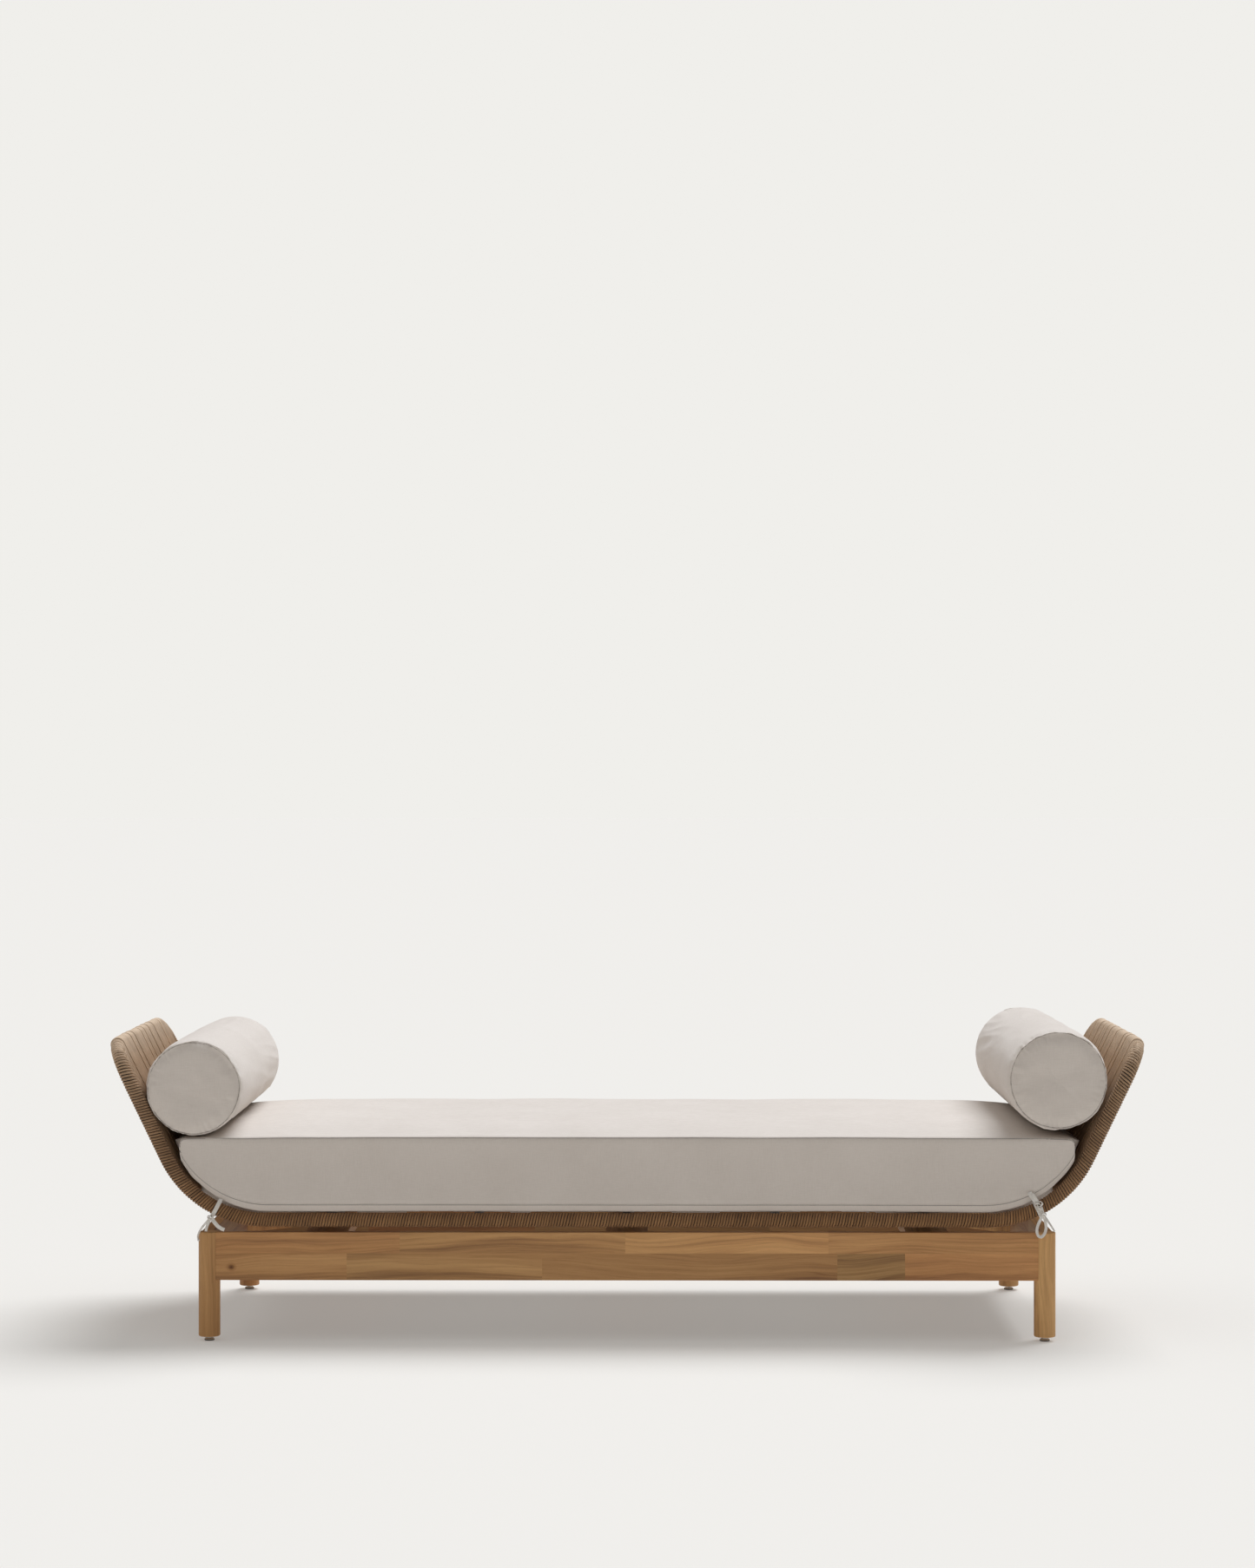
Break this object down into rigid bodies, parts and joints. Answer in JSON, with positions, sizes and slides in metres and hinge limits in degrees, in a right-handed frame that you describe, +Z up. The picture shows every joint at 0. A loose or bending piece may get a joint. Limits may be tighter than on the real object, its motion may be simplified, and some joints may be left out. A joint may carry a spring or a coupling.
{
  "type": "daybed",
  "caption": "Backless daybed: wooden base on round legs, rope-wrapped steel tray with raised ends, boat-shaped mattress and two loose bolsters.",
  "frame": {"origin": "on the floor under the middle of the daybed", "axes": "+X along the bed to the right end, +Z up, the front faces -Y"},
  "size_m": [2.225, 0.7742, 0.6625],
  "materials": {
    "wood": "satin",
    "steel": "satin",
    "nickel": "satin",
    "plastic": "matte",
    "rope": "matte",
    "fabric": "matte",
    "tape": "matte",
    "zip": "matte"
  },
  "bodies": {
    "daybed_frame": {"leg_front_left": "wood", "leg_front_right": "wood", "leg_rear_left": "wood", "leg_rear_right": "wood", "apron_front": "wood", "apron_rear": "wood", "apron_left": "wood", "apron_right": "wood", "cross_rail_left": "wood", "cross_rail_middle": "wood", "cross_rail_right": "wood", "corner_block_front_left": "wood", "corner_block_front_right": "wood", "corner_block_rear_left": "wood", "corner_block_rear_right": "wood", "side_rail_front": "steel", "side_rail_rear": "steel", "top_bar_left": "steel", "top_bar_right": "steel", "cross_tube_1": "steel", "cross_tube_2": "steel", "cross_tube_3": "steel", "cross_tube_4": "steel", "cross_tube_5": "steel", "foot_tube_left": "steel", "foot_tube_right": "steel", "tray_bolt_front_left": "nickel", "tray_bolt_front_right": "nickel", "tray_bolt_rear_left": "nickel", "tray_bolt_rear_right": "nickel", "tray_spacer_front_left": "plastic", "tray_spacer_front_right": "plastic", "tray_spacer_rear_left": "plastic", "tray_spacer_rear_right": "plastic", "rope_wrap_front": "rope", "rope_wrap_rear": "rope", "rope_panel_left": "rope", "rope_panel_right": "rope", "mattress": "fabric", "tie_front_left": "tape", "tie_front_right": "tape", "tie_rear_left": "tape", "tie_rear_right": "tape", "mattress_zip": "zip"},
    "leveller_front_left": {"leveller_stud_front_left": "nickel", "leveller_pad_front_left": "plastic"},
    "leveller_front_right": {"leveller_stud_front_right": "nickel", "leveller_pad_front_right": "plastic"},
    "leveller_rear_left": {"leveller_stud_rear_left": "nickel", "leveller_pad_rear_left": "plastic"},
    "leveller_rear_right": {"leveller_stud_rear_right": "nickel", "leveller_pad_rear_right": "plastic"},
    "loose_bolster_left": {"bolster_left": "fabric", "bolster_zip_left": "zip"},
    "loose_bolster_right": {"bolster_right": "fabric", "bolster_zip_right": "zip"},
    "bolster_slider_left": {"bolster_zip_slider_left": "nickel"},
    "bolster_slider_right": {"bolster_zip_slider_right": "nickel"},
    "mattress_slider": {"mattress_zip_slider": "nickel"}
  },
  "joints": [
    {"name": "leveller_travel_front_left", "type": "slide", "parent": "daybed_frame", "child": "leveller_front_left", "axis": [0, 0, -1], "range_m": [0, 0.012]},
    {"name": "leveller_travel_front_right", "type": "slide", "parent": "daybed_frame", "child": "leveller_front_right", "axis": [0, 0, -1], "range_m": [0, 0.012]},
    {"name": "leveller_travel_rear_left", "type": "slide", "parent": "daybed_frame", "child": "leveller_rear_left", "axis": [0, 0, -1], "range_m": [0, 0.012]},
    {"name": "leveller_travel_rear_right", "type": "slide", "parent": "daybed_frame", "child": "leveller_rear_right", "axis": [0, 0, -1], "range_m": [0, 0.012]},
    {"name": "bolster_lift_left", "type": "slide", "parent": "daybed_frame", "child": "loose_bolster_left", "axis": [0, 0, 1], "range_m": [0, 0.3]},
    {"name": "bolster_lift_right", "type": "slide", "parent": "daybed_frame", "child": "loose_bolster_right", "axis": [0, 0, 1], "range_m": [0, 0.3]},
    {"name": "bolster_zip_left_travel", "type": "slide", "parent": "loose_bolster_left", "child": "bolster_slider_left", "axis": [0, 1, 0], "range_m": [0, 0.498]},
    {"name": "bolster_zip_right_travel", "type": "slide", "parent": "loose_bolster_right", "child": "bolster_slider_right", "axis": [0, 1, 0], "range_m": [0, 0.498]},
    {"name": "mattress_zip_travel", "type": "slide", "parent": "daybed_frame", "child": "mattress_slider", "axis": [1, 0, 0], "range_m": [0, 1.338]}
  ]
}
